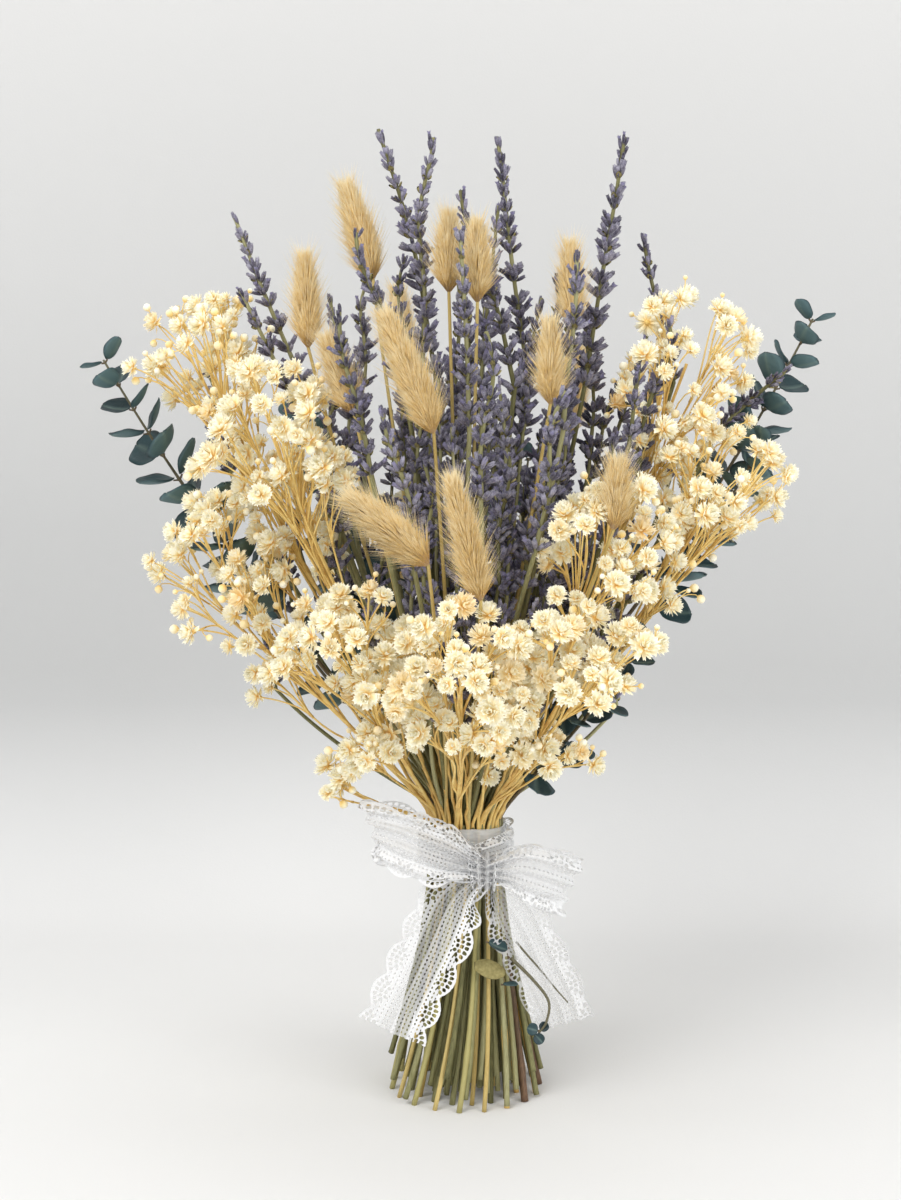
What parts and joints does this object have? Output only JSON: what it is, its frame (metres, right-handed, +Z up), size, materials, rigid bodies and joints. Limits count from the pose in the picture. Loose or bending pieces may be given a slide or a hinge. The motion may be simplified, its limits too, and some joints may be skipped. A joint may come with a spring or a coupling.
{
  "type": "bunch of dried flowers",
  "caption": "Hand-tied bunch of dried lavender, bunny-tail grass, double gypsophila and eucalyptus, taped and tied with a white lace bow, standing on its splayed cut stems.",
  "frame": {"origin": "on the floor, under the middle of the bunch's box in plan", "axes": "+Z up along the stems, the longest side; -Y towards the front with the bow; +X to the right, and Y is the bunch's depth, the shortest side"},
  "size_m": [0.2892, 0.2038, 0.3846],
  "materials": {
    "lavender": "matt dried calyxes, grey violet, on olive green stems",
    "bunny_tail": "soft silky golden cream hair on straw stems",
    "gypsophila": "papery cream petals on golden waxy stems",
    "eucalyptus": "waxy preserved leaves, dark blue green, on woody stems",
    "clear_tape": "clear glossy film",
    "lace": "white net lace with a scalloped edge"
  },
  "bodies": {
    "root": {"lavender_01": "lavender", "lavender_02": "lavender", "lavender_03": "lavender", "lavender_04": "lavender", "lavender_05": "lavender", "lavender_06": "lavender", "lavender_07": "lavender", "lavender_08": "lavender", "lavender_09": "lavender", "lavender_10": "lavender", "lavender_11": "lavender", "lavender_12": "lavender", "lavender_13": "lavender", "lavender_14": "lavender", "lavender_15": "lavender", "lavender_16": "lavender", "lavender_17": "lavender", "lavender_18": "lavender", "lavender_19": "lavender", "lavender_20": "lavender", "lavender_21": "lavender", "lavender_22": "lavender", "lavender_23": "lavender", "lavender_24": "lavender", "bunny_tail_01": "bunny_tail", "bunny_tail_02": "bunny_tail", "bunny_tail_03": "bunny_tail", "bunny_tail_04": "bunny_tail", "bunny_tail_05": "bunny_tail", "bunny_tail_06": "bunny_tail", "bunny_tail_07": "bunny_tail", "bunny_tail_08": "bunny_tail", "bunny_tail_09": "bunny_tail", "bunny_tail_10": "bunny_tail", "bunny_tail_11": "bunny_tail", "bunny_tail_12": "bunny_tail", "bunny_tail_13": "bunny_tail", "gypsophila_01": "gypsophila", "gypsophila_02": "gypsophila", "gypsophila_03": "gypsophila", "gypsophila_04": "gypsophila", "gypsophila_05": "gypsophila", "gypsophila_06": "gypsophila", "gypsophila_07": "gypsophila", "gypsophila_08": "gypsophila", "gypsophila_09": "gypsophila", "gypsophila_10": "gypsophila", "gypsophila_11": "gypsophila", "gypsophila_12": "gypsophila", "eucalyptus_01": "eucalyptus", "eucalyptus_02": "eucalyptus", "eucalyptus_03": "eucalyptus", "eucalyptus_04": "eucalyptus", "eucalyptus_05": "eucalyptus", "eucalyptus_06": "eucalyptus", "eucalyptus_07": "eucalyptus", "binding_tape": "clear_tape", "lace_ribbon": "lace"}
  },
  "joints": []
}
